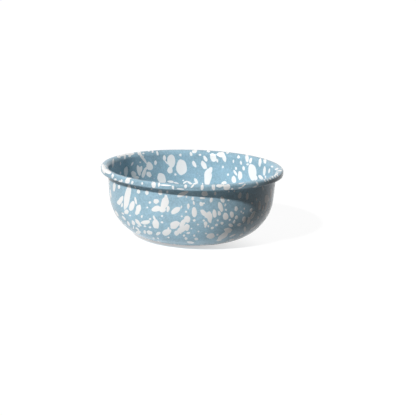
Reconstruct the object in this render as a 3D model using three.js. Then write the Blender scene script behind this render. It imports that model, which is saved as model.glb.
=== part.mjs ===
// Enamel bowl: one drawn steel pressing with a rolled rim, enamelled on both faces.
// Millimetres, +Z up. The origin is on the surface that the bowl stands on, on its axis.
// The steel is described as a sheet that is laid out along a line of straights and bends,
// from the middle of the base to the edge that is tucked under the rim. Every layer of the
// bowl is a band at its own depth through that sheet, turned round the axis.

import * as THREE from "three";

// Driving dimensions, taken over the finished enamel
const RIM_DIAMETER = 152; // across the rolled rim
const HEIGHT = 59; // from the standing ring to the top of the rim
const WALL_TAPER_DEG = 4.4; // how far the wall leans out as it rises
const CORNER_RADIUS = 37.3; // outside of the bend between base and wall
const LIP_FLAT = 0.5; // level land on top of the rim, between its two upper bends
const ROLL_DEPTH = 5; // from the top of the rim to the underside of its roll
const ROLL_GAP = 0.5; // left between the tucked-in edge of the roll and the wall
const STANDING_RING_WIDTH = 5; // flat ring that the bowl stands on
const RECESS_DEPTH = 1.2; // how far the middle of the base is pressed up inside that ring

// Bends of the bare steel, each measured on the inside of the bend
const LIP_BEND_RADIUS = 3.5; // from the wall out to the level land
const SHOULDER_BEND_RADIUS = 1; // from the land down to the upright face of the roll
const ROLL_EDGE_BEND_RADIUS = 0.2; // both bends on the underside of the roll
const RECESS_BEND_RADIUS = 2.65; // both bends of the step round the recess

// Thickness of the sheet and of each coat, which is the same on both faces
const STEEL_THICKNESS = 0.7;
const GROUND_COAT_THICKNESS = 0.1;
const COVER_COAT_THICKNESS = 0.2;

// Facets
const SEGMENTS_AROUND = 40;
const CORNER_STEPS = 7;
const LIP_STEPS = 4;
const SHOULDER_STEPS = 2;
const ROLL_EDGE_STEPS = 2;
const TUCK_STEPS = 1;
const RECESS_STEPS = 1;

// Depths of each layer's two faces, from the middle of the steel towards the inside of the bowl
const STEEL_FACE = STEEL_THICKNESS / 2;
const GROUND_FACE = STEEL_FACE + GROUND_COAT_THICKNESS;
const COVER_FACE = GROUND_FACE + COVER_COAT_THICKNESS;

const MATERIALS = {
  steel: new THREE.MeshStandardMaterial({ color: 0x8d9196, roughness: 0.45, metalness: 1 }),
  groundEnamel: new THREE.MeshStandardMaterial({ color: 0x1d2733, roughness: 0.3, metalness: 0 }),
  blueEnamel: new THREE.MeshStandardMaterial({ color: 0x86b0c6, roughness: 0.18, metalness: 0 }),
};

// A sheet seen edge on, in the plane of radius and height. Each station holds a point on the
// middle of the sheet and the unit normal there, which points to the inside face.
class SheetLine {
  constructor(radius, height) {
    this.point = new THREE.Vector2(radius, height);
    this.heading = 0;
    this.stations = [];
    this.mark();
  }

  inwards() {
    return new THREE.Vector2(-Math.sin(this.heading), Math.cos(this.heading));
  }

  mark() {
    this.stations.push({ point: this.point.clone(), inwards: this.inwards() });
    return this.stations.length;
  }

  straight(length) {
    this.point.x += length * Math.cos(this.heading);
    this.point.y += length * Math.sin(this.heading);
    return this.mark();
  }

  // Turns by an angle, to the left if it is positive, in equal steps along an arc.
  bend(angle, radius, steps) {
    const side = Math.sign(angle);
    const step = angle / steps;
    const centre = this.point.clone().addScaledVector(this.inwards(), side * radius);
    for (let i = 0; i < steps; i += 1) {
      this.heading += step;
      this.point.x = centre.x + side * radius * Math.sin(this.heading);
      this.point.y = centre.y - side * radius * Math.cos(this.heading);
      this.mark();
    }
    return this.stations.length;
  }
}

// Lays out the sheet, and says how many of its stations lie below the rim.
function pressedSheet() {
  const quarterTurn = Math.PI / 2;
  const taper = THREE.MathUtils.degToRad(WALL_TAPER_DEG);
  const wallTurn = quarterTurn - taper;

  // Radius of each bend at the middle of the sheet
  const cornerRadius = CORNER_RADIUS - COVER_FACE;
  const lipRadius = LIP_BEND_RADIUS + STEEL_FACE;
  const shoulderRadius = SHOULDER_BEND_RADIUS + STEEL_FACE;
  const edgeRadius = ROLL_EDGE_BEND_RADIUS + STEEL_FACE;
  const recessRadius = RECESS_BEND_RADIUS + STEEL_FACE;

  // Middle of the sheet on the top of the rim, down its upright face and at its lower bends
  const landHeight = HEIGHT - COVER_FACE;
  const uprightRadius = RIM_DIAMETER / 2 - COVER_FACE;
  const edgeHeight = HEIGHT - ROLL_DEPTH + COVER_FACE + edgeRadius;
  const upright = landHeight - shoulderRadius - edgeHeight;

  // Foot of the lip's bend, where the straight wall ends
  const wallTop = new THREE.Vector2(
    uprightRadius - shoulderRadius - LIP_FLAT - lipRadius * Math.cos(taper),
    landHeight - lipRadius * (1 - Math.sin(taper)),
  );

  // The wall runs down from there until it meets the corner, which sets the standing ring's edge
  const wallRise = wallTop.y - COVER_FACE - cornerRadius * (1 - Math.sin(taper));
  const ringEdge = wallTop.x - wallRise * Math.tan(taper) - cornerRadius * Math.cos(taper);

  // Two equal bends, one down and one back, make the step round the recess
  const stepTurn = Math.acos(1 - RECESS_DEPTH / (2 * recessRadius));
  const stepRun = 2 * recessRadius * Math.sin(stepTurn);

  // The underside of the roll runs in until its tucked-in edge is one gap away from the wall
  const wallFace = wallTop.x - (wallTop.y - edgeHeight) * Math.tan(taper) + COVER_FACE / Math.cos(taper);
  const tuckRadius = wallFace + ROLL_GAP + COVER_FACE + edgeRadius;
  const underside = uprightRadius - edgeRadius - tuckRadius;

  const sheet = new SheetLine(0, COVER_FACE + RECESS_DEPTH);
  sheet.straight(ringEdge - STANDING_RING_WIDTH - stepRun);
  sheet.bend(-stepTurn, recessRadius, RECESS_STEPS);
  sheet.bend(stepTurn, recessRadius, RECESS_STEPS);
  sheet.straight(STANDING_RING_WIDTH);
  sheet.bend(wallTurn, cornerRadius, CORNER_STEPS);
  const belowRim = sheet.straight(wallRise / Math.cos(taper));
  sheet.bend(-wallTurn, lipRadius, LIP_STEPS);
  sheet.straight(LIP_FLAT);
  sheet.bend(-quarterTurn, shoulderRadius, SHOULDER_STEPS);
  sheet.straight(upright);
  sheet.bend(-quarterTurn, edgeRadius, ROLL_EDGE_STEPS);
  sheet.straight(underside);
  const whole = sheet.bend(-quarterTurn, edgeRadius, TUCK_STEPS);
  return { stations: sheet.stations, belowRim, whole };
}

const SHEET = pressedSheet();

// One face of a layer: the sheet's first stations, moved to a depth through the sheet.
function face(depth, count) {
  const moved = SHEET.stations
    .slice(0, count)
    .map(({ point, inwards }) => point.clone().addScaledVector(inwards, depth));
  moved[0].x = 0;
  return moved;
}

// A layer between two depths, turned round the axis from the middle of the base outwards.
function layer(name, outerDepth, innerDepth, count, material) {
  const section = [...face(outerDepth, count), ...face(innerDepth, count).reverse()];
  const turned = new THREE.LatheGeometry(section, SEGMENTS_AROUND);
  const mesh = new THREE.Mesh(turned, material);
  mesh.name = name;
  return mesh;
}

// The inside coats follow the sheet over the rim and round the roll to its edge.
// The outside coats stop at the top of the wall, in the hollow of the roll.
function groundCoats() {
  return new THREE.Group().add(
    layer("ground_coat_inside", STEEL_FACE, GROUND_FACE, SHEET.whole, MATERIALS.groundEnamel),
    layer("ground_coat_outside", -GROUND_FACE, -STEEL_FACE, SHEET.belowRim, MATERIALS.groundEnamel),
  );
}

function coverCoats() {
  return new THREE.Group().add(
    layer("cover_coat_inside", GROUND_FACE, COVER_FACE, SHEET.whole, MATERIALS.blueEnamel),
    layer("cover_coat_outside", -COVER_FACE, -GROUND_FACE, SHEET.belowRim, MATERIALS.blueEnamel),
  );
}

const bowl = new THREE.Group();
bowl.add(
  layer("steel_bowl", -STEEL_FACE, STEEL_FACE, SHEET.whole, MATERIALS.steel),
  groundCoats(),
  coverCoats(),
);
bowl.rotation.x = Math.PI / 2; // a lathe turns round Y, and the bowl stands on Z

export default bowl;
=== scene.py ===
# Enamel bowl: steel and enamel turned as fine skins, white splatter thrown on them, light and camera.
import math
import random
from collections import namedtuple

import bmesh
import bpy
from mathutils import Matrix, Vector
from mathutils.bvhtree import BVHTree


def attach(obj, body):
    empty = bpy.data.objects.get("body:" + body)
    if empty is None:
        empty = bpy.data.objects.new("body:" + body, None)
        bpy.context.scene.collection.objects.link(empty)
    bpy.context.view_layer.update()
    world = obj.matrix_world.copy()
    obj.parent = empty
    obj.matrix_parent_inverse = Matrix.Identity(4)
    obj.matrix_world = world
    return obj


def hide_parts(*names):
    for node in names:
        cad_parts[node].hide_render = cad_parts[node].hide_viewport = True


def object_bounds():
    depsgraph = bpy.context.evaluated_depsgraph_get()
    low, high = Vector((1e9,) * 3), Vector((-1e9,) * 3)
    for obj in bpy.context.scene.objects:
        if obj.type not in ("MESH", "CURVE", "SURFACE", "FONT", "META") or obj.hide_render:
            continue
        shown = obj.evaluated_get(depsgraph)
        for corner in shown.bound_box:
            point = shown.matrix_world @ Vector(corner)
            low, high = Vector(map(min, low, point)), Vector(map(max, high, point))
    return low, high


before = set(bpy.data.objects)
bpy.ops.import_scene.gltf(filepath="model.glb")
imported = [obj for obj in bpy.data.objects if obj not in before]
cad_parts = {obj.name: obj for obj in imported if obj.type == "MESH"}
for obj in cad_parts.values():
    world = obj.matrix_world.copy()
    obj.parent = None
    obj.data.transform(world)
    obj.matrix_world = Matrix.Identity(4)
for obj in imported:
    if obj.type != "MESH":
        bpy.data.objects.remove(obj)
cad_low, cad_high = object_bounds()

MM = 0.001
QUARTER_TURN = math.pi / 2
BODY = "root"

# The pressing, taken over the finished enamel. The frame gives its rim and its height.
RIM_RADIUS = cad_high.x
HEIGHT = cad_high.z
WALL_TAPER = math.radians(4.4)
CORNER_RADIUS = 37.3 * MM
LIP_FLAT = 0.5 * MM
ROLL_DEPTH = 5 * MM
ROLL_GAP = 0.5 * MM
STANDING_RING_WIDTH = 5 * MM
RECESS_DEPTH = 1.2 * MM

# Faces of the layers, from the middle of the steel
STEEL_FACE = 0.35 * MM
GROUND_FACE = 0.45 * MM
COVER_FACE = 0.65 * MM

# Bends of the sheet, at the middle of the steel
CORNER_BEND = CORNER_RADIUS - COVER_FACE
LIP_BEND = 3.85 * MM
SHOULDER_BEND = 1.35 * MM
ROLL_EDGE_BEND = 0.55 * MM
RECESS_BEND = 3 * MM

# Facets
STEPS_AROUND = 240
CORNER_STEPS = 36
LIP_STEPS = 20
SHOULDER_STEPS = 14
ROLL_EDGE_STEPS = 10
RECESS_STEPS = 6
SAME_POINT = 0.001 * MM
SHARP_EDGE = math.radians(40)

# The photograph's camera, with its frame in pixels
PHOTO_SIDE = 416
CAMERA_AIM = Vector((0, 0, 30 * MM))
CAMERA_DISTANCE = 900 * MM
CAMERA_ELEVATION = math.radians(13.09)
CAMERA_ROLL = math.radians(1.54)
CAMERA_LENS = 92.77
CAMERA_SENSOR = 36.0
CAMERA_SHIFT = (0.0401, -0.0202)
CAMERA_NEAR = 10 * MM
PIXEL = 0.833 * MM  # what one pixel spans at the bowl
camera_tilt = Matrix.Rotation(QUARTER_TURN - CAMERA_ELEVATION, 4, "X")
camera_turn = camera_tilt @ Matrix.Rotation(CAMERA_ROLL, 4, "Z")
camera_back = Matrix.Translation((0, 0, CAMERA_DISTANCE))
camera_place = Matrix.Translation(CAMERA_AIM) @ camera_turn @ camera_back

# Light: the key, the room's two shades with the way to its bright side, and the floor's two greys with
# the middle of its bright part. Each fade says where the first shade ends and the second one begins.
KEY_LEFT = math.radians(36)
KEY_ELEVATION = math.radians(38.5)
KEY_SUN = 3.5
KEY_SPREAD = math.radians(3.5)
ROOM_DARK = 0.02
ROOM_BRIGHT = 0.75
ROOM_BRIGHT_WAY = (-0.3, 0.94, 0.15)
ROOM_FADE = (0.05, 0.8)
FLOOR_REACH = 12
FLOOR_BRIGHT = 0.8
FLOOR_DULL = 0.08
FLOOR_BRIGHT_SPOT = (-40 * MM, -78 * MM, 0)
FLOOR_FADE = (35 * MM, 125 * MM)
SUN_ON_FLOOR = KEY_SUN * math.sin(KEY_ELEVATION) / math.pi
PURE_WHITE = (1, 1, 1, 1)

# Finishes, as linear colours
# One blue enamel, given as two copies: deeper inside the bowl as painted shade, paler outside as
# painted light, and partly coats sprayed apart.
BLUE_INSIDE_SHADED = (0.292, 0.453, 0.548)
BLUE_OUTSIDE_LIT = (0.34, 0.52, 0.625)
BLUE_DEEP = 0.84
BLUE_PALE = 1.16
WHITE = (0.87, 0.87, 0.86, 1)
WHITE_THIN = (0.62, 0.72, 0.77, 1)
GROUND_GLASS = (0.012, 0.019, 0.032, 1)
GROUND_BUBBLES = (0.05, 0.08, 0.12, 1)
STEEL_GREY = (0.50, 0.51, 0.53, 1)
STEEL_STAIN = (0.36, 0.37, 0.39, 1)
GLASS_IOR = 1.3

# Grain of the finishes: how many cells in a metre, octaves, and how strong the finer ones are
Grain = namedtuple("Grain", "scale detail roughness", defaults=[0.5])
PEEL_WAVES = Grain(260.0, 1.0)
PEEL_RIPPLES = Grain(900.0, 1.0)
BLUE_CLOUDS = Grain(48.0, 3.0)
BLUE_GRAIN = Grain(700.0, 2.0, 0.6)
WHITE_MOTTLE = Grain(420.0, 2.0)
BUBBLES = Grain(1200.0, 2.0)
PICKLING = Grain(700.0, 4.0, 0.6)
PINHOLE_SCALE = 330.0

# What the grain does: its range of values, its share in a mixture and the depth of its relief
CLOUD_RANGE = (0.34, 0.66)
GRAIN_RANGE = (0.3, 0.7)
PINHOLE_RANGE = (0.09, 0.15)
CLOUD_SHARE = 0.4
PINHOLE_SHARE = 0.55
RIPPLE_SHARE = 0.25
PEEL_DEPTH = 0.012 * MM
BUBBLE_DEPTH = 0.01 * MM
PICKLING_DEPTH = 0.006 * MM

# Roughness of each finish: the smoothest, and what its grain adds
BLUE_ROUGHNESS = (0.13, 0.07)
WHITE_ROUGHNESS = (0.12, 0.08)
GROUND_ROUGHNESS = (0.2, 0.15)
STEEL_ROUGHNESS = (0.38, 0.2)

# Section of a white drop. The drops bring the blue up to the full thickness of the coat.
DROP_HEIGHT = 0.06 * MM
DROP_ROOT = 0.08 * MM
DROP_MARGIN = 0.01 * MM
LOWEST_DROP = 0.75  # as a share of the height
EDGE_RISE = 0.4  # height of the outline, as a share of the drop's height
EDGE_WIDTH = 0.12  # as a share of the drop's radius
MIDDLE_WIDTH = 0.5  # what is added to the last ring, in rings
THIN_EDGE = "thin_edge"
BLUE_FACE = COVER_FACE - DROP_HEIGHT - DROP_MARGIN

# Sides and rings of the drops, and how far the skin bows under the finer ones
DROP_SHAPES = {
    "small": (12, 1), "middling": (16, 1), "big": (20, 2), "bent": (22, 3), "curled": (22, 5),
}
SMALL_LENGTH = 2.6 * MM
BIG_BOW = 0.25 * MM
BENT_BOW = 0.8 * MM
CURLED_BOW = 1.8 * MM

# Outline of a drop of unit radius: the waves round it, how far each may swell it, and its taper
WOBBLE_WAVES = (2, 3, 5)
WOBBLE = 0.07
TAPER = 0.15
DROP_ENDS = ((1, 0), (-1, 0), (0, 1), (0, -1))

# Splashes read in the photograph, in its pixels: x, y, length, breadth and the tilt of the
# length, in degrees from level and anticlockwise.
Splash = namedtuple("Splash", "x y length breadth tilt")

INSIDE_SPLASHES = [
    (113, 163, 9, 2.2, 85), (120.4, 163.5, 3.6, 1.3, 88), (120.5, 172.9, 3, 1.6, 90),
    (126, 171.4, 10, 4.2, 86), (132.3, 163.8, 4.2, 1.8, 62), (133.6, 174.3, 7, 5, 110),
    (136.2, 177.4, 6, 3, 170), (138.8, 170.5, 10.5, 4, 102), (140.2, 162.3, 1.8, 1.6, 0),
    (140.6, 169.4, 7.5, 3.2, 68), (144, 173, 10.5, 3.6, 72), (142.3, 157.4, 15, 2.8, 126),
    (139.3, 153, 5, 3.6, 120), (146, 168.6, 5, 2.6, 45), (149, 174.4, 6.5, 4.5, 125),
    (149.5, 166.1, 9.2, 6.4, 110), (143.5, 153.5, 2.2, 1.6, 0), (143.4, 156.6, 1.8, 1.4, 90),
    (118.6, 156.6, 4.5, 2.6, 150), (122.5, 154.8, 6.5, 3, 22), (124.8, 156.8, 4.8, 2.2, 85),
    (127.8, 153.7, 5, 2.6, 12), (131, 153.8, 6.6, 3, 10), (130, 155.4, 4, 2.4, 45),
    (149, 150.8, 2.2, 1.6, 20), (152.6, 151.4, 3, 1.8, 90), (157.4, 153.4, 4.8, 2, 108),
    (155.5, 162.8, 4.6, 2.8, 90), (161.6, 178.5, 12, 8, 115), (164.4, 157.9, 5.8, 3, 95),
    (166.3, 162.2, 6, 1.4, 130), (171.3, 161, 14, 7.8, 98), (170, 170.1, 6.6, 5.8, 90),
    (175.4, 174.5, 2.6, 2.2, 130), (181.5, 167.3, 16.6, 10.4, 90), (180.3, 155, 2.8, 2.6, 0),
    (191, 154, 4.6, 2.6, 105), (194.6, 151.2, 5.5, 4, 30), (194.3, 164.2, 7, 3.6, 115),
    (200, 154.8, 2.6, 2.2, 0), (205.3, 158.6, 7, 3.2, 118), (203.8, 165, 9, 5, 112),
    (208.5, 151.2, 3.6, 2.4, 0), (207.8, 177, 16.5, 7.6, 86), (210, 170.5, 7, 5, 70),
    (213.2, 157.5, 9, 6, 112), (217.2, 160.6, 4, 2, 105), (220.8, 154.6, 8, 5.4, 0),
    (224.3, 158.3, 7.4, 4, 105), (222.9, 167, 2.8, 2, 90), (227.4, 152.6, 2.8, 2.4, 0),
    (228, 174.6, 2.6, 2, 90), (233.4, 161.3, 3.2, 1.7, 90), (233.8, 179.4, 7.6, 4.5, 98),
    (235.3, 172.8, 6.6, 2.4, 122), (236, 168.4, 3.2, 2, 90), (238.5, 156.9, 3.2, 2.8, 90),
    (240, 175.6, 9.5, 4.3, 90), (241, 162.8, 4.2, 2, 100), (243.6, 168.3, 4.8, 2.6, 95),
    (247, 157.8, 9.5, 3.6, 95), (247.6, 164.3, 2.6, 2.2, 0), (250.6, 160.6, 6, 2.8, 75),
    (252.3, 172, 16.6, 8.4, 97), (255.3, 177.5, 6, 4, 110), (260, 162.3, 8.5, 3, 82),
    (260.8, 177.4, 6, 3.4, 140), (264.4, 171, 9.8, 2.8, 88), (265, 161, 5.2, 3, 90),
    (265.4, 177, 2.8, 1.5, 100), (269.2, 170.8, 5.2, 2, 80), (272, 166.6, 2.4, 1.8, 0),
]

RIM_SPLASHES = [
    (107.8, 171.4, 8.2, 4.4, 152), (112.6, 176, 4.6, 2.4, 75), (115.4, 179.4, 2.6, 2, 0),
    (119.6, 181.4, 2.6, 2, 0), (121.6, 180.8, 3, 2, 80), (127.5, 180.8, 6.5, 4.5, 70),
    (130, 178.2, 5, 2, 20), (132.3, 182.6, 3.6, 2.2, 70), (142.2, 183.4, 2.8, 2, 90),
    (153.6, 184.4, 7.5, 4.6, 92), (159, 184.6, 4.4, 2.2, 80), (165.5, 185.3, 12, 1.5, 178),
    (173, 187.4, 4, 2.4, 100), (170.6, 181.7, 6.6, 2.4, 175), (176.2, 183, 5, 1.6, 163),
    (180.5, 189, 8, 1.3, 175), (183.2, 180.4, 1.8, 1.6, 0), (185.2, 182.2, 5, 2, 33),
    (189.6, 182.8, 6, 2.2, 143), (185.6, 186.4, 4, 3, 90), (192.6, 186, 5.2, 1.8, 50),
    (194.4, 184, 4.5, 2, 20), (196, 181, 6.6, 3, 118),
    (202.1, 187.4, 5.8, 3.2, 85), (202.5, 184.3, 3.4, 1.2, 80),
    (213.4, 186.8, 6.8, 3.6, 95), (219.2, 185.8, 6, 3.8, 0), (224, 183, 5.6, 3.6, 15),
    (226.9, 186.9, 7.2, 6.6, 30), (232.2, 189, 2.4, 2, 30), (241.4, 183, 5.6, 1.8, 12),
    (243.2, 186, 3.6, 1.7, 35), (240.2, 187.8, 4, 1.3, 10), (244.8, 184.4, 2, 1.6, 20),
    (257.2, 183.5, 4, 1.8, 115), (255, 186.8, 5, 1.4, 25), (265, 180.8, 3, 1.2, 125),
    (268.1, 180.6, 3.2, 1.2, 125), (270.4, 179, 3, 1.2, 125), (272.7, 177.4, 2.8, 1.2, 125),
    (275.1, 176.4, 2.8, 1.2, 125), (277.6, 175.6, 2.6, 1.2, 125), (280, 170.6, 4.6, 1.4, 8),
    # The drop at 103.8, 168.8 on the rim's far left end is partly white enamel, partly a painted
    # highlight for the pale gleam there.
    (276.6, 169, 4, 1.6, 25), (276.2, 174, 4.5, 2.2, 30), (103.8, 168.8, 9, 4.2, 100),
    (222.8, 184.8, 4.4, 3.2, 140),
]

OUTSIDE_SPLASHES = [
    (114.2, 187, 9, 2.8, 88), (119, 187, 4, 2.5, 90), (135.2, 187.2, 3, 1.2, 120),
    (127.3, 197, 25, 6.2, 80),
    (120.6, 200.5, 10, 4, 65), (118.6, 201.8, 4.5, 3, 60), (122, 205, 4.5, 2, 80),
    (126.5, 211.8, 5, 4.2, 70), (131.9, 206, 10.5, 5, 72), (135.6, 200.5, 8, 2.2, 102),
    (138.6, 208.5, 8, 5, 75), (137.2, 212.5, 5, 4.5, 60), (138.5, 191.5, 4.5, 3.5, 90),
    (147, 192.6, 5, 3.5, 90), (116.7, 213.5, 7, 2, 120), (122.8, 213.5, 3, 1.5, 145),
    (123.8, 218, 6, 1.8, 130), (128.5, 223.5, 5.5, 2.2, 118), (130, 215.5, 2, 1.8, 0),
    (133.3, 222.8, 5.5, 3, 120), (133.4, 227.5, 3, 1.2, 90), (138, 222.5, 8.5, 3.2, 128),
    (138.5, 226.3, 3, 1.2, 150), (140.6, 225.5, 2.2, 1.6, 140), (137.4, 229, 5, 1.6, 140),
    (138.3, 232.3, 5, 3.5, 0), (141.8, 216.5, 3, 2, 80), (145.5, 222.3, 10, 4, 8),
    (145, 226.3, 2.6, 2, 0), (144.8, 232, 4, 2.5, 110), (149.5, 232.5, 5.8, 4, 160),
    (150, 219, 2.4, 2.2, 0), (149.8, 202.5, 2.6, 2.4, 0), (147.3, 207.5, 2, 1.8, 0),
    (150, 227.3, 2.6, 2, 0), (151.6, 189.2, 2.2, 1.6, 0), (153.5, 238.3, 2.6, 1.4, 160),
    (154.3, 218, 5.5, 2.2, 115), (155.8, 224, 10, 6.5, 98), (156, 208.8, 9.5, 5.8, 15),
    (156.2, 201.3, 5.6, 5, 10), (158, 238.3, 2.6, 1.2, 155), (158.3, 233.5, 5.2, 3, 25),
    (160.3, 192.4, 5.4, 4.4, 90), (162, 216, 2.2, 2, 0), (162, 222.3, 2.6, 2.2, 0),
    (162.3, 209.3, 7, 6.5, 0), (164.8, 202.8, 13, 7.5, 70), (165.8, 197, 4.5, 3, 80),
    (166.8, 232.3, 9.5, 6.3, 15), (167.3, 191.8, 2.8, 2.5, 90), (168, 209, 6.5, 3.2, 80),
    (168.4, 228.6, 3, 2, 80), (168.5, 237.5, 2.2, 1.8, 0), (174.8, 224.8, 11, 7, 35),
    (175.8, 210.5, 10.8, 5.6, 33), (176.8, 233, 5.5, 5, 45), (180.5, 233.2, 1.8, 1.4, 0),
    (181.4, 207, 3, 1.6, 90), (181.8, 216.3, 2.2, 1.8, 0), (182.6, 194, 12.5, 4.2, 25),
    (182.8, 223, 10, 4.6, 60), (183, 228.8, 14, 6, 28), (184, 235.6, 2.6, 2.2, 60),
    (186, 211.7, 2.4, 2.2, 0), (186, 238.5, 3.2, 2.8, 130), (186.5, 196.7, 2.2, 2, 90),
    (187, 227.3, 7.5, 5, 90), (187.3, 219.2, 7.5, 6, 90), (188.3, 206.3, 5.6, 2.8, 90),
    (188.3, 233, 4, 2.2, 10), (190.5, 242.4, 8, 2.2, 172), (191.5, 228.5, 1.6, 1.4, 0),
    (192.8, 198.5, 4, 2.6, 90), (193.8, 203, 4, 2, 100), (194.2, 235.6, 2.4, 2.3, 0),
    (194.3, 212, 10.5, 5.2, 92), (194.3, 220.4, 2.8, 2.6, 0), (196.3, 239, 4, 2.6, 0),
    (198, 224.6, 2.2, 1.8, 0), (198.5, 231.5, 2, 1.6, 0), (201.3, 204, 4.6, 3.8, 120),
    (202.5, 198, 5.6, 2.2, 0), (203.8, 213, 9, 4.6, 128), (203.8, 220.5, 2.4, 2.2, 0),
    (204, 203.3, 2, 1.8, 0), (204.6, 193.6, 6.6, 5.4, 0), (205.3, 226.5, 2.6, 2, 90),
    (205.6, 223.8, 5, 3.6, 80), (206, 233.5, 2.4, 1.6, 0), (206.5, 216, 5, 4, 130),
    (208.3, 226.2, 2.4, 2, 90), (209.5, 217, 12, 5.6, 98), (210.5, 236, 8.8, 5.3, 5),
    (211.3, 200, 5.2, 3.3, 80), (212.3, 228, 3.6, 2.4, 25), (214.5, 213.5, 8.8, 4, 98),
    (215.2, 193.3, 4, 2.2, 90), (216.5, 225, 3.2, 2.6, 20), (217.5, 234.7, 2.3, 2, 0),
    (217.8, 220.4, 2.2, 2, 0), (219, 239.9, 5, 2.6, 15), (219.3, 213.3, 5, 3.2, 105),
    (220.6, 207, 10, 4.8, 105), (222, 223.2, 3.2, 3, 0), (222.5, 199.5, 6.8, 4, 110),
    (223.3, 235.8, 13, 5, 35), (225.3, 205, 3, 1.8, 65), (225.6, 216.3, 7.5, 5.5, 95),
    (226, 209.8, 2.3, 2, 90), (228, 230.2, 8, 5, 175), (228.5, 200.3, 2.2, 2, 0),
    (228.8, 191.5, 2, 1.8, 0), (229.8, 220, 2.4, 2, 30), (230.7, 225.3, 4.8, 3.4, 150),
    (231.5, 239.7, 5, 1.6, 12), (231.8, 214.5, 6.5, 4, 100), (232.5, 235.5, 7, 1.6, 25),
    (234.2, 221.8, 4, 2.4, 65), (234.3, 191.2, 2, 1.6, 60), (236.2, 208.8, 5, 3.6, 90),
    (236.5, 217.5, 4, 3.2, 80), (239.3, 224.6, 4.4, 2.8, 30), (239.8, 195.5, 6.6, 3.4, 75),
    (241.2, 234.5, 4.2, 2, 30), (241.3, 211.8, 2.2, 1.7, 90), (243.2, 213.2, 1.8, 1.6, 0),
    (244, 219.5, 6.5, 3.6, 75), (244.3, 208.7, 2.2, 1.5, 90), (244.9, 229, 5.4, 2.5, 85),
    (247.3, 196.3, 7, 2.8, 82), (248.8, 220.5, 7.5, 3, 75), (251.2, 210, 4.2, 2.6, 65),
    (252, 203, 2.4, 2.2, 90), (252, 222.5, 4, 2, 60), (252.6, 215.3, 10, 3, 60),
    (253.5, 227.4, 9.5, 1.5, 36), (256.5, 199.3, 3, 1.5, 90), (258, 217.5, 3, 1.8, 75),
    (259.5, 205.5, 9, 3, 85), (262, 214.5, 2.8, 1.7, 70), (262.8, 208, 6, 1.8, 78),
    (265.8, 213.6, 6.4, 1.8, 72), (266.8, 199, 9.5, 4.4, 85), (266, 206.8, 10, 1.9, 75),
    (262.8, 187.9, 5, 1.4, 100), (270.9, 193.5, 11, 1.8, 88), (270.2, 205, 7, 1.4, 85),
    (268.5, 208.4, 1.6, 1, 90),
]

# How a read splash is laid: where the line of sight starts inside the bowl, how far the splash may
# spread, in its lengths and at most, and how its outline draws in where the skin turns away.
READ_SEED = 7
BEHIND_FRONT_RIM = -20 * MM
SPREAD_LENGTHS = 4
WIDEST_SPREAD = 30 * MM
DRAWN_IN = (1, 0.85, 0.7, 0.5, 0.3, 0.15, 0)

# Splatter that the photograph doesn't show, made like the rest of it
THROW_SEED = 8
THROWS_INSIDE = 760
THROWS_OUTSIDE = 480
DROPS_IN_A_THROW = (1, 1, 1, 2, 3)
THROW_SPREAD = 4 * MM
LOG_LENGTH = (1.48, 0.58)  # of millimetres, the middle and the spread
LONGEST_DROP = 12 * MM
LONGEST_ON_RIM = 6.5 * MM
BREADTHS = (0.38, 0.88)  # as shares of the length
LEAN_SPREAD = 0.6
NEARLY_LEVEL = 0.2  # sine of the slope below which a drop may lie any way round
CLOSE_TO_SKIN = 2 * MM
EDGE_ON = 0.2  # cosine between the line of sight and the normal
OFF_SKIN = 0.2 * MM  # where a line of sight starts


class FaceLine:
    """One face of the pressed sheet, edge on in the XZ plane, drawn from the axis outwards."""

    def __init__(self, bm, depth):
        self.bm = bm
        self.depth = depth
        self.heading = 0.0
        self.end = bm.verts.new((0, 0, COVER_FACE + RECESS_DEPTH + depth))

    def straight(self, length):
        self.end = bmesh.ops.extrude_vert_indiv(self.bm, verts=[self.end])["verts"][0]
        along = Vector((math.cos(self.heading), 0, math.sin(self.heading)))
        bmesh.ops.translate(self.bm, verts=[self.end], vec=along * length)

    def bend(self, angle, radius, steps):
        """Turns left if the angle is positive. The radius is that of the sheet's middle."""
        inwards = Vector((-math.sin(self.heading), 0, math.cos(self.heading)))
        centre = self.end.co + inwards * (math.copysign(radius, angle) - self.depth)
        swept = bmesh.ops.spin(
            self.bm, geom=[self.end], cent=centre, axis=(0, -1, 0), angle=angle, steps=steps
        )
        self.end = next(part for part in swept["geom_last"] if isinstance(part, bmesh.types.BMVert))
        self.heading += angle


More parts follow.
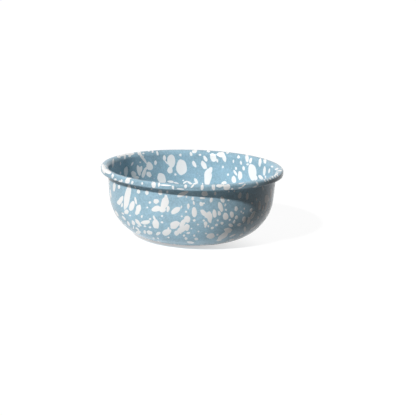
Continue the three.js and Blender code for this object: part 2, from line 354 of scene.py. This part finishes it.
def draw_face(bm, depth, over_rim):
    """Draws the face at a depth through the sheet, up to the top of the wall or on over the rim."""
    wall_turn = QUARTER_TURN - WALL_TAPER

    # The sheet's middle on top of the rim, down its upright face and at its lower bends
    land_height = HEIGHT - COVER_FACE
    upright_radius = RIM_RADIUS - COVER_FACE
    edge_height = HEIGHT - ROLL_DEPTH + COVER_FACE + ROLL_EDGE_BEND

    # Where the straight wall ends, and from it the rise of the wall and the edge of the ring
    wall_top = upright_radius - SHOULDER_BEND - LIP_FLAT - LIP_BEND * math.cos(WALL_TAPER)
    wall_top_height = land_height - LIP_BEND * (1 - math.sin(WALL_TAPER))
    wall_rise = wall_top_height - COVER_FACE - CORNER_BEND * (1 - math.sin(WALL_TAPER))
    ring_edge = wall_top - wall_rise * math.tan(WALL_TAPER) - CORNER_BEND * math.cos(WALL_TAPER)

    # Two equal bends make the step round the recess
    step_turn = math.acos(1 - RECESS_DEPTH / (2 * RECESS_BEND))
    step_run = 2 * RECESS_BEND * math.sin(step_turn)

    # The underside of the roll runs in until its tucked-in edge is one gap away from the wall
    wall_lean = (wall_top_height - edge_height) * math.tan(WALL_TAPER)
    wall_face = wall_top - wall_lean + COVER_FACE / math.cos(WALL_TAPER)
    tuck_radius = wall_face + ROLL_GAP + COVER_FACE + ROLL_EDGE_BEND
    underside = upright_radius - ROLL_EDGE_BEND - tuck_radius

    line = FaceLine(bm, depth)
    line.straight(ring_edge - STANDING_RING_WIDTH - step_run)
    line.bend(-step_turn, RECESS_BEND, RECESS_STEPS)
    line.bend(step_turn, RECESS_BEND, RECESS_STEPS)
    line.straight(STANDING_RING_WIDTH)
    line.bend(wall_turn, CORNER_BEND, CORNER_STEPS)
    line.straight(wall_rise / math.cos(WALL_TAPER))
    if over_rim:
        line.bend(-wall_turn, LIP_BEND, LIP_STEPS)
        line.straight(LIP_FLAT)
        line.bend(-QUARTER_TURN, SHOULDER_BEND, SHOULDER_STEPS)
        line.straight(land_height - SHOULDER_BEND - edge_height)
        line.bend(-QUARTER_TURN, ROLL_EDGE_BEND, ROLL_EDGE_STEPS)
        line.straight(underside)
        line.bend(-QUARTER_TURN, ROLL_EDGE_BEND, ROLL_EDGE_STEPS)
    return line.end


def by_place(face):
    """A number that puts the faces of a turned skin in the same order in every run."""
    middle = face.calc_center_median()
    around = math.floor(math.atan2(middle.y, middle.x) * STEPS_AROUND / math.tau)
    return around + middle.xy.length + middle.z


def turn(bm):
    """Turns a section in the XZ plane round the bowl's axis."""
    section = bm.verts[:] + bm.edges[:]
    bmesh.ops.spin(
        bm, geom=section, axis=(0, 0, 1), angle=math.tau, steps=STEPS_AROUND, use_merge=True
    )
    bmesh.ops.remove_doubles(bm, verts=bm.verts, dist=SAME_POINT)
    bmesh.ops.recalc_face_normals(bm, faces=bm.faces)
    bm.faces.sort(key=by_place)


def layer(outer_depth, inner_depth, over_rim):
    """A closed skin between two depths through the sheet."""
    bm = bmesh.new()
    outer_end = draw_face(bm, outer_depth, over_rim)
    inner_end = draw_face(bm, inner_depth, over_rim)
    bm.edges.new((outer_end, inner_end))
    turn(bm)
    return bm


def open_face(depth, over_rim):
    """One face of the blue coat, for drops to lie on."""
    bm = bmesh.new()
    draw_face(bm, depth, over_rim)
    turn(bm)
    return bm


def add_object(name, bm, material):
    """Makes an object from a bmesh."""
    mesh = bpy.data.meshes.new(name)
    bm.to_mesh(mesh)
    bm.free()
    mesh.materials.append(material)
    made = bpy.data.objects.new(name, mesh)
    bpy.context.scene.collection.objects.link(made)
    return made


def place_piece(name, bm, material, slot, *nodes):
    """Makes a piece of the bowl from a bmesh, and hides the parts of the model that it stands in for.
    """
    for face in bm.faces:
        face.smooth = True
    for edge in bm.edges:
        edge.smooth = edge.calc_face_angle(0) < SHARP_EDGE
    piece = add_object(name, bm, material)
    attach(piece, BODY)
    if nodes:
        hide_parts(*nodes)


class Value:
    """A socket in a node tree. Arithmetic on it adds Math nodes."""

    def __init__(self, nodes, socket):
        self.nodes = nodes
        self.socket = socket

    def _math(self, operation, first, second):
        return self.nodes.add("ShaderNodeMath", {"operation": operation}, {0: first, 1: second})

    def __add__(self, other):
        return self._math("ADD", self, other)

    def __radd__(self, other):
        return self._math("ADD", other, self)

    def __sub__(self, other):
        return self._math("SUBTRACT", self, other)

    def __rsub__(self, other):
        return self._math("SUBTRACT", other, self)

    def __mul__(self, other):
        return self._math("MULTIPLY", self, other)

    def __rmul__(self, other):
        return self._math("MULTIPLY", other, self)


class Nodes:
    """The node tree of a material or of the world."""

    MIX_A, MIX_B, MIX_RESULT = 6, 7, 2  # the Mix node's sockets for colours
    SEEN_RAYS = ("Is Camera Ray", "Is Glossy Ray", "Is Transmission Ray")

    def __init__(self, owner):
        owner.use_nodes = True
        self.tree = owner.node_tree
        self.tree.nodes.clear()

    def add(self, kind, settings=None, inputs=None, output=0):
        """Adds a node, with its settings first, and gives the socket of one of its outputs."""
        node = self.tree.nodes.new(kind)
        for name, value in (settings or {}).items():
            setattr(node, name, value)
        for name, value in (inputs or {}).items():
            if isinstance(value, Value):
                self.tree.links.new(value.socket, node.inputs[name])
            else:
                node.inputs[name].default_value = value
        return Value(self, node.outputs[output]) if node.outputs else None

    def blend(self, factor, first, second):
        """A colour between two colours."""
        inputs = {"Factor": factor, self.MIX_A: first, self.MIX_B: second}
        return self.add("ShaderNodeMix", {"data_type": "RGBA"}, inputs, self.MIX_RESULT)

    def noise(self, place, grain):
        inputs = {
            "Vector": place,
            "Scale": grain.scale,
            "Detail": grain.detail,
            "Roughness": grain.roughness,
        }
        return self.add("ShaderNodeTexNoise", {}, inputs, "Fac")

    def ramp(self, value, low, high):
        """Goes smoothly from 0 to 1 as a value goes from low to high."""
        inputs = {"Value": value, "From Min": low, "From Max": high}
        return self.add("ShaderNodeMapRange", {"interpolation_type": "SMOOTHSTEP"}, inputs)

    def of_vectors(self, operation, first, second):
        """A number that Vector Math makes of two vectors."""
        settings = {"operation": operation}
        return self.add("ShaderNodeVectorMath", settings, {0: first, 1: second}, "Value")

    def object_place(self):
        return self.add("ShaderNodeTexCoord", output="Object")

    def seen(self):
        """1 for what is seen, straight, in gloss or through glass, and 0 for what only gives light."""
        straight, gloss, through = (
            self.add("ShaderNodeLightPath", output=ray) for ray in self.SEEN_RAYS
        )
        return straight + gloss + through

    def bump(self, height, distance):
        return self.add("ShaderNodeBump", {}, {"Height": height, "Distance": distance})

    def surface(self, **inputs):
        """The material's one shader. In the names of its sockets, _ stands for a space."""
        named = {name.replace("_", " "): value for name, value in inputs.items()}
        shader = self.add("ShaderNodeBsdfPrincipled", {}, named)
        self.add("ShaderNodeOutputMaterial", {}, {"Surface": shader})


def new_finish(name):
    """A material, its node tree and the place on the piece that its grain follows."""
    material = bpy.data.materials.new(name)
    nodes = Nodes(material)
    return material, nodes, nodes.object_place()


def tone(colour, level):
    """A colour made deeper or paler."""
    return (*(channel * level for channel in colour), 1)


def rough(roughness, grain):
    """Roughness that grows with the grain."""
    smoothest, added = roughness
    return smoothest + added * grain


def glaze_bump(nodes, place):
    """The faint orange peel of fired glass."""
    waves = nodes.noise(place, PEEL_WAVES)
    ripples = nodes.noise(place, PEEL_RIPPLES)
    return nodes.bump(waves + RIPPLE_SHARE * ripples, PEEL_DEPTH)


def blue_enamel(name, blue):
    """Blue glass, mottled in clouds and in fine grain, with pale pinholes."""
    material, nodes, place = new_finish(name)
    clouds = nodes.ramp(nodes.noise(place, BLUE_CLOUDS), *CLOUD_RANGE)
    grain = nodes.ramp(nodes.noise(place, BLUE_GRAIN), *GRAIN_RANGE)
    mottle = CLOUD_SHARE * clouds + (1 - CLOUD_SHARE) * grain
    mottled = nodes.blend(mottle, tone(blue, BLUE_DEEP), tone(blue, BLUE_PALE))
    cells = {"Vector": place, "Scale": PINHOLE_SCALE}
    from_hole = nodes.add("ShaderNodeTexVoronoi", {}, cells, "Distance")
    pinholes = 1 - nodes.ramp(from_hole, *PINHOLE_RANGE)
    nodes.surface(
        Base_Color=nodes.blend(PINHOLE_SHARE * pinholes, mottled, WHITE_THIN),
        Roughness=rough(BLUE_ROUGHNESS, grain),
        IOR=GLASS_IOR,
        Normal=glaze_bump(nodes, place),
    )
    return material


def white_enamel():
    """White glass, through which the blue shows where a drop thins at its edge."""
    material, nodes, place = new_finish("white_enamel")
    thin = nodes.add("ShaderNodeAttribute", {"attribute_name": THIN_EDGE}, output="Fac")
    mottle = nodes.noise(place, WHITE_MOTTLE)
    nodes.surface(
        Base_Color=nodes.blend(thin * mottle, WHITE, WHITE_THIN),
        Roughness=rough(WHITE_ROUGHNESS, mottle),
        IOR=GLASS_IOR,
        Normal=glaze_bump(nodes, place),
    )
    return material


def ground_enamel():
    """Dark glass with fine bubbles."""
    material, nodes, place = new_finish("ground_enamel")
    bubbles = nodes.noise(place, BUBBLES)
    nodes.surface(
        Base_Color=nodes.blend(bubbles, GROUND_GLASS, GROUND_BUBBLES),
        Roughness=rough(GROUND_ROUGHNESS, bubbles),
        IOR=GLASS_IOR,
        Normal=nodes.bump(bubbles, BUBBLE_DEPTH),
    )
    return material


def bare_steel():
    """Sheet that was pickled in acid before it was enamelled."""
    material, nodes, place = new_finish("bare_steel")
    pickled = nodes.noise(place, PICKLING)
    nodes.surface(
        Base_Color=nodes.blend(pickled, STEEL_GREY, STEEL_STAIN),
        Metallic=1.0,
        Roughness=rough(STEEL_ROUGHNESS, pickled),
        Normal=nodes.bump(pickled, PICKLING_DEPTH),
    )
    return material


def pale_floor():
    """A floor that is white to the eye but for the bowl's shadow, and lights the bowl from one spot."""
    material, nodes, place = new_finish("pale_floor")
    apart = nodes.of_vectors("DISTANCE", place, FLOOR_BRIGHT_SPOT)
    grey = FLOOR_BRIGHT + (FLOOR_DULL - FLOOR_BRIGHT) * nodes.ramp(apart, *FLOOR_FADE)
    plain = nodes.add("ShaderNodeBsdfDiffuse", {}, {"Color": grey})
    white_out = nodes.seen() * (1 - SUN_ON_FLOOR * grey)
    glow = nodes.add("ShaderNodeEmission", {}, {"Color": white_out})
    both = nodes.add("ShaderNodeAddShader", {}, {0: plain, 1: glow})
    nodes.add("ShaderNodeOutputMaterial", {}, {"Surface": both})
    return material


def lay_floor():
    """The floor, which isn't part of the bowl."""
    bm = bmesh.new()
    bmesh.ops.create_grid(bm, x_segments=1, y_segments=1, size=FLOOR_REACH)
    floor = add_object("floor", bm, pale_floor())


def light_key():
    """The main light, from the left and from before the bowl."""
    sun = bpy.data.lights.new("key", "SUN")
    sun.energy = KEY_SUN
    sun.angle = KEY_SPREAD
    key = bpy.data.objects.new("key", sun)
    key.rotation_euler = (QUARTER_TURN - KEY_ELEVATION, 0, -KEY_LEFT)
    bpy.context.scene.collection.objects.link(key)


def light_room():
    """The fill: a room that is bright behind the bowl and on its left, and white to the eye."""
    world = bpy.data.worlds.new("studio")
    bpy.context.scene.world = world
    nodes = Nodes(world)
    way = nodes.add("ShaderNodeTexCoord", output="Generated")
    facing = nodes.of_vectors("DOT_PRODUCT", way, ROOM_BRIGHT_WAY)
    shade = ROOM_DARK + (ROOM_BRIGHT - ROOM_DARK) * nodes.ramp(facing, *ROOM_FADE)
    dim = nodes.add("ShaderNodeBackground", {}, {"Color": shade})
    clear = nodes.add("ShaderNodeBackground", {}, {"Color": PURE_WHITE})
    mixed = nodes.add("ShaderNodeMixShader", {}, {0: nodes.seen(), 1: dim, 2: clear})
    nodes.add("ShaderNodeOutputWorld", {}, {"Surface": mixed})


def set_camera():
    """The camera, at the photograph's viewing angle."""
    lens = bpy.data.cameras.new("camera")
    lens.lens = CAMERA_LENS
    lens.sensor_width = CAMERA_SENSOR
    lens.shift_x, lens.shift_y = CAMERA_SHIFT
    lens.clip_start = CAMERA_NEAR
    camera = bpy.data.objects.new("camera", lens)
    camera.matrix_world = camera_place
    bpy.context.scene.collection.objects.link(camera)
    bpy.context.scene.camera = camera


def sight(x, y):
    """The direction from the camera through a pixel of the photograph."""
    across = (x / PHOTO_SIDE - 0.5 + CAMERA_SHIFT[0]) * CAMERA_SENSOR / CAMERA_LENS
    up = (0.5 - y / PHOTO_SIDE + CAMERA_SHIFT[1]) * CAMERA_SENSOR / CAMERA_LENS
    return (camera_turn.to_3x3() @ Vector((across, up, -1))).normalized()


def drop_template(sides, rings):
    """A flat drop of unit radius with a rounded edge. Its top and its root have rings."""
    bm = bmesh.new()
    thin = bm.verts.layers.float.new(THIN_EDGE)
    bmesh.ops.create_circle(bm, cap_ends=True, radius=1, segments=sides)
    root = bm.faces[:]
    raised = bmesh.ops.extrude_face_region(bm, geom=root)["geom"]
    top = [part for part in raised if isinstance(part, bmesh.types.BMFace)]
    bmesh.ops.translate(bm, verts=top[0].verts, vec=(0, 0, EDGE_RISE))
    bmesh.ops.translate(bm, verts=root[0].verts, vec=(0, 0, -1))
    bmesh.ops.inset_region(bm, faces=top, thickness=EDGE_WIDTH)
    bmesh.ops.translate(bm, verts=top[0].verts, vec=(0, 0, 1 - EDGE_RISE))
    ring_width = (1 - EDGE_WIDTH) / (rings + MIDDLE_WIDTH)
    for _ in range(rings - 1):
        for face in top + root:
            bmesh.ops.inset_region(bm, faces=[face], thickness=ring_width)
    bmesh.ops.poke(bm, faces=top + root)
    bmesh.ops.recalc_face_normals(bm, faces=bm.faces)
    for vert in bm.verts:
        vert[thin] = round(vert.co.z) < 1
    return bm


def wobble(draw):
    """An uneven outline for a drop, as a stretch of its radius by angle."""
    waves = [(turns, draw.uniform(0, math.tau), draw.uniform(0, WOBBLE)) for turns in WOBBLE_WAVES]
    taper = draw.uniform(-TAPER, TAPER)

    def stretch(along, across):
        angle = math.atan2(across, along)
        swell = 1 + sum(size * math.cos(turns * angle + start) for turns, start, size in waves)
        return along * swell, across * swell * (1 + taper * along)

    return stretch


def drop_height(draw):
    return DROP_HEIGHT * draw.uniform(LOWEST_DROP, 1)


def skin_bow(lay):
    """How far the skin bows under a drop."""
    middle, upright = lay(0, 0)
    ends = [lay(*end) for end in DROP_ENDS]
    return max((point - middle).length * upright.angle(normal) for point, normal in ends)


def fitting_drop(length, lay):
    """The plainest drop that follows the skin."""
    bow = skin_bow(lay)
    if bow > CURLED_BOW:
        return drop_templates["curled"]
    if bow > BENT_BOW:
        return drop_templates["bent"]
    if bow > BIG_BOW:
        return drop_templates["big"]
    return drop_templates["middling" if length > SMALL_LENGTH else "small"]


def new_drops():
    """An empty bmesh that keeps how thin the drops are."""
    bm = bmesh.new()
    bm.verts.layers.float.new(THIN_EDGE)
    return bm


def add_drop(drops, length, height, lay):
    """Copies a drop. For a point of it, lay gives the point of the skin and the normal there."""
    bm = fitting_drop(length, lay).copy()
    for vert in bm.verts:
        point, normal = lay(vert.co.x, vert.co.y)
        lift = height * vert.co.z if vert.co.z > 0 else DROP_ROOT * vert.co.z
        vert.co = point + normal * lift
    scratch = bpy.data.meshes.new("drop")
    bm.to_mesh(scratch)
    bm.free()
    drops.from_mesh(scratch)
    bpy.data.meshes.remove(scratch)


def read_splash(drops, tree, start, splash, draw):
    """Lays a splash of the photograph on the skin, as seen from the camera or from y = start on."""
    shape = wobble(draw)
    height = drop_height(draw)
    tilt = math.radians(splash.tilt)

    def seen(along, across):
        level = along * splash.length / 2
        steep = across * splash.breadth / 2
        x = splash.x + level * math.cos(tilt) - steep * math.sin(tilt)
        y = splash.y - level * math.sin(tilt) - steep * math.cos(tilt)
        direction = sight(x, y)
        origin = camera_place.translation.copy()
        if start is not None:
            origin += direction * ((start - origin.y) / direction.y)
        point, normal = tree.ray_cast(origin, direction)[:2]
        return (point, normal) if point is not None and normal.dot(direction) < 0 else (None, None)

    middle, upright = seen(0, 0)
    if middle is None:
        return
    limit = min(SPREAD_LENGTHS * splash.length * PIXEL, WIDEST_SPREAD)

    def lay(along, across):
        along, across = shape(along, across)
        for share in DRAWN_IN:
            point, normal = seen(along * share, across * share)
            if point is not None and (point - middle).length < limit:
                return point, normal
        return middle, upright

    add_drop(drops, splash.length * PIXEL, height, lay)


def facing_camera(point, normal):
    """Whether the camera sees a point of the bowl."""
    towards = (camera_place.translation - point).normalized()
    if normal.dot(towards) < EDGE_ON:
        return False
    start = point + normal * OFF_SKIN
    return all(tree.ray_cast(start, towards)[0] is None for tree in (inside_tree, outside_tree))


def random_place(tree, draw):
    """A place on a skin, even by area: the nearest one to a random point that is close to the skin."""
    reach = RIM_RADIUS + CLOSE_TO_SKIN
    while True:
        across = draw.uniform(-reach, reach)
        along = draw.uniform(-reach, reach)
        height = draw.uniform(-CLOSE_TO_SKIN, HEIGHT + CLOSE_TO_SKIN)
        place, _, _, gap = tree.find_nearest((across, along, height))
        if gap < CLOSE_TO_SKIN:
            return place


def throw_drop(drops, tree, near, draw):
    """Lays one thrown drop on the skin, unless the photograph shows that place."""
    spot, normal = tree.find_nearest(near)[:2]
    length = min(LONGEST_DROP, draw.lognormvariate(*LOG_LENGTH) * MM)
    breadth = length * draw.uniform(*BREADTHS)
    lean = draw.gauss(0, LEAN_SPREAD)
    shape = wobble(draw)
    height = drop_height(draw)
    up = Vector((0, 0, 1)) - normal * normal.z
    if up.length < NEARLY_LEVEL:
        way = draw.uniform(0, math.tau)
        up = Vector((math.cos(way), math.sin(way), 0))
    up.normalize()
    level = normal.cross(up)
    long_way = up * math.cos(lean) + level * math.sin(lean)
    short_way = level * math.cos(lean) - up * math.sin(lean)

    def lay(along, across):
        along, across = shape(along, across)
        flat = spot + long_way * (along * length / 2) + short_way * (across * breadth / 2)
        return tree.find_nearest(flat)[:2]

    # A drop that wraps round the rim is made smaller, so that its facets follow the bend.
    if skin_bow(lay) > CURLED_BOW:
        shrink = min(1, LONGEST_ON_RIM / length)
        length *= shrink
        breadth *= shrink
    if not any(facing_camera(*lay(*end)) for end in ((0, 0), *DROP_ENDS)):
        add_drop(drops, length, height, lay)


def throw(drops, tree, count, draw):
    """Throws drops over a skin, evenly by area and a few at a time."""
    for _ in range(count):
        middle = random_place(tree, draw)
        for _ in range(draw.choice(DROPS_IN_A_THROW)):
            aside = Vector([draw.gauss(0, THROW_SPREAD) for _ in range(3)])
            throw_drop(drops, tree, middle + aside, draw)


# Finishes of the bowl
# The inside blue carries painted shade and the outside blue painted light, besides the coats' own blue.
blue_inside = blue_enamel("blue_enamel_inside", BLUE_INSIDE_SHADED)
blue_outside = blue_enamel("blue_enamel_outside", BLUE_OUTSIDE_LIT)
white = white_enamel()
ground = ground_enamel()
steel = bare_steel()

# The layers of the bowl, from the steel outwards
place_piece("steel_sheet", layer(-STEEL_FACE, STEEL_FACE, True), steel, "steel", "steel_bowl")
place_piece(
    "ground_glaze_inside",
    layer(STEEL_FACE, GROUND_FACE, True),
    ground,
    "ground_enamel",
    "ground_coat_inside",
)
place_piece(
    "ground_glaze_outside",
    layer(-GROUND_FACE, -STEEL_FACE, False),
    ground,
    "ground_enamel",
    "ground_coat_outside",
)
place_piece(
    "blue_glaze_inside",
    layer(GROUND_FACE, BLUE_FACE, True),
    blue_inside,
    "blue_enamel",
    "cover_coat_inside",
)
place_piece(
    "blue_glaze_outside",
    layer(-BLUE_FACE, -GROUND_FACE, False),
    blue_outside,
    "blue_enamel",
    "cover_coat_outside",
)

# The splatter, first as it is read in the photograph and then thrown on the rest of the bowl
drop_templates = {name: drop_template(*shape) for name, shape in DROP_SHAPES.items()}
inside_tree = BVHTree.FromBMesh(open_face(BLUE_FACE, True))
outside_tree = BVHTree.FromBMesh(open_face(-BLUE_FACE, False))
drops_inside = new_drops()
drops_outside = new_drops()
draw = random.Random(READ_SEED)
for entry in INSIDE_SPLASHES:
    read_splash(drops_inside, inside_tree, BEHIND_FRONT_RIM, Splash(*entry), draw)
for entry in RIM_SPLASHES:
    read_splash(drops_inside, inside_tree, None, Splash(*entry), draw)
for entry in OUTSIDE_SPLASHES:
    read_splash(drops_outside, outside_tree, None, Splash(*entry), draw)
draw = random.Random(THROW_SEED)
throw(drops_inside, inside_tree, THROWS_INSIDE, draw)
throw(drops_outside, outside_tree, THROWS_OUTSIDE, draw)
place_piece("white_splatter_inside", drops_inside, white, "white_enamel")
place_piece("white_splatter_outside", drops_outside, white, "white_enamel")

# The studio
set_camera()
lay_floor()
light_key()
light_room()
bpy.context.scene.view_settings.view_transform = "Standard"
